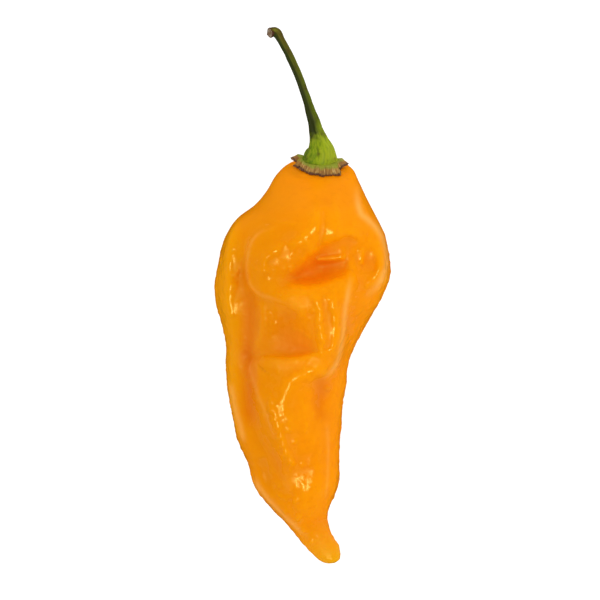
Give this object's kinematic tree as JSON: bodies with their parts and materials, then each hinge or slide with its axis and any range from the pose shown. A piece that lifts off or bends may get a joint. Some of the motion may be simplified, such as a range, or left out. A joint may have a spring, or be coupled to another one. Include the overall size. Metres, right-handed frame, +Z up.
{
  "type": "chilli pepper",
  "caption": "Lobed and folded lantern-shaped chilli pepper lying on its side, with a dry ragged calyx and a thin curved stem.",
  "frame": {"origin": "on the surface that the pepper lies on, under the middle of its bounding box", "axes": "+Y from the pod's tip towards the stem's cut end, +X to the right seen from above, +Z up from the surface that it lies on"},
  "size_m": [0.0315, 0.0965, 0.0265],
  "materials": {
    "pod_skin": "smooth waxy orange skin with a wet-looking gloss",
    "dry_calyx": "dry tan fibre with a dark brown torn edge",
    "green_stem": "ribbed green stem, drier and browner towards its cut end"
  },
  "bodies": {
    "root": {"pod": "pod_skin", "calyx": "dry_calyx", "stem": "green_stem"}
  },
  "joints": []
}
